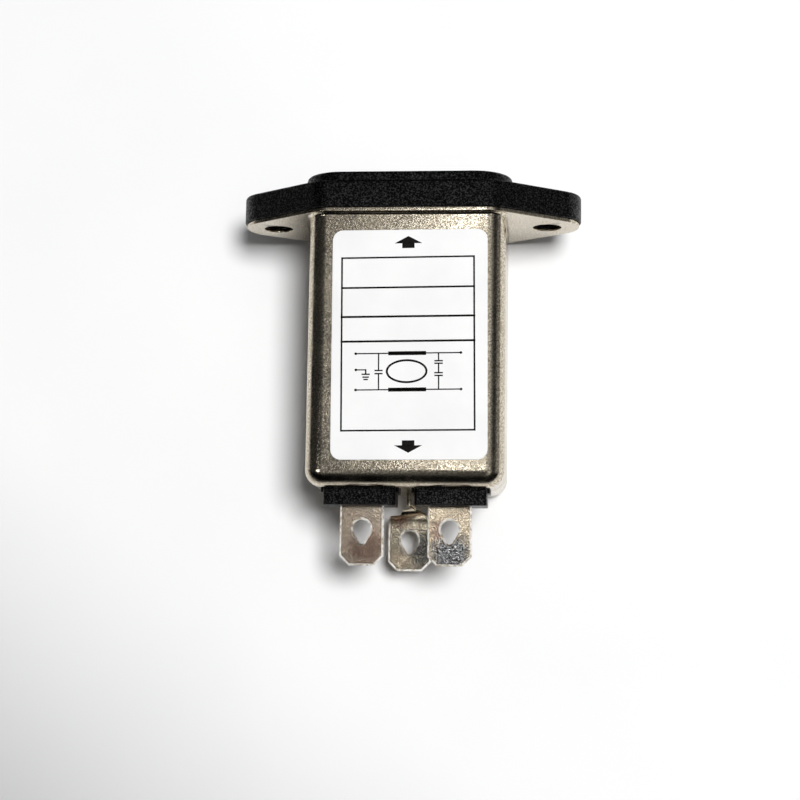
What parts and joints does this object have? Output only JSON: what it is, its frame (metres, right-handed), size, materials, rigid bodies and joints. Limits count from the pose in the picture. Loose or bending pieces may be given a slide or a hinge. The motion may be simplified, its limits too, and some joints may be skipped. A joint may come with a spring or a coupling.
{
  "type": "mains inlet with line filter",
  "caption": "Flanged mains inlet with a built-in line filter in a drawn metal case; three push-on tabs at the rear feed the equipment.",
  "frame": {"origin": "midway between the two fixing holes, on the ears' rear face that meets the panel", "axes": "+Y out of the socket, along the inlet; +X along the row of fixing holes; +Z towards the label's side"},
  "size_m": [0.05, 0.0564, 0.0226],
  "materials": {
    "nickel_plated_steel": "satin, mottled nickel plate",
    "black_moulding": "fine spark-eroded texture",
    "terminal_moulding": "matt",
    "plated_brass_tab": "nickel plated, slightly mottled",
    "plated_brass_pin": "nickel plated, satin",
    "white_label": "smooth coated paper",
    "ferrite": "epoxy coated",
    "enamelled_copper": "clear enamel",
    "divider_plastic": "satin",
    "capacitor_box": "satin",
    "capacitor_coating": "dipped epoxy",
    "tinned_wire": "tinned",
    "wire_insulation": "satin",
    "sleeve_paper": "calendered insulating paper"
  },
  "bodies": {
    "root": {"case_shell": "nickel_plated_steel", "inlet_housing": "black_moulding", "line_pin": "plated_brass_pin", "neutral_pin": "plated_brass_pin", "earth_pin": "plated_brass_pin", "line_terminal_block": "terminal_moulding", "neutral_terminal_block": "terminal_moulding", "line_tab": "plated_brass_tab", "neutral_tab": "plated_brass_tab", "earth_tab": "plated_brass_tab", "choke_core": "ferrite", "line_winding": "enamelled_copper", "neutral_winding": "enamelled_copper", "winding_divider": "divider_plastic", "x_capacitor": "capacitor_box", "x_capacitor_leads": "tinned_wire", "line_y_capacitor": "capacitor_coating", "line_y_capacitor_leads": "tinned_wire", "neutral_y_capacitor": "capacitor_coating", "neutral_y_capacitor_leads": "tinned_wire", "earth_wire": "wire_insulation", "insulating_sleeve": "sleeve_paper", "label": "white_label"}
  },
  "joints": []
}
